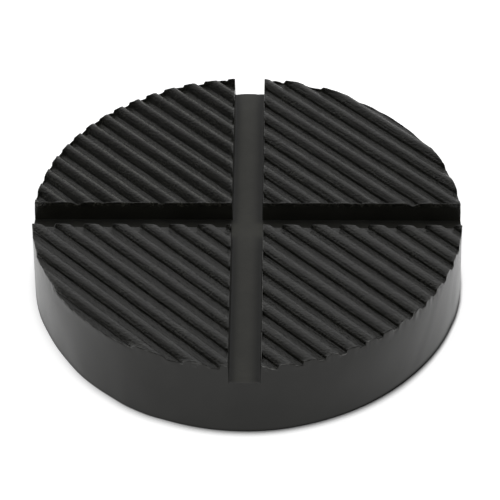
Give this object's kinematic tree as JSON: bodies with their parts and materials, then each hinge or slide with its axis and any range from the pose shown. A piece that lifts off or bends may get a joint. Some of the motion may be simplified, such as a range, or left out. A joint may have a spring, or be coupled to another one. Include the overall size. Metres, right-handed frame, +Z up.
{
  "type": "slotted rubber jack pad",
  "caption": "Round moulded rubber pad for the saddle of a floor jack, with diagonal grip ribs across its top and crossing slots for a car's sill seam.",
  "frame": {"origin": "centre of the flat base", "axes": "+Z up out of the ribbed top, +Y along the long slot away from the camera, +X along the cross slot"},
  "size_m": [0.125, 0.125, 0.025],
  "materials": {
    "rubber": "satin"
  },
  "bodies": {
    "root": {"jack_pad": "rubber"}
  },
  "joints": []
}
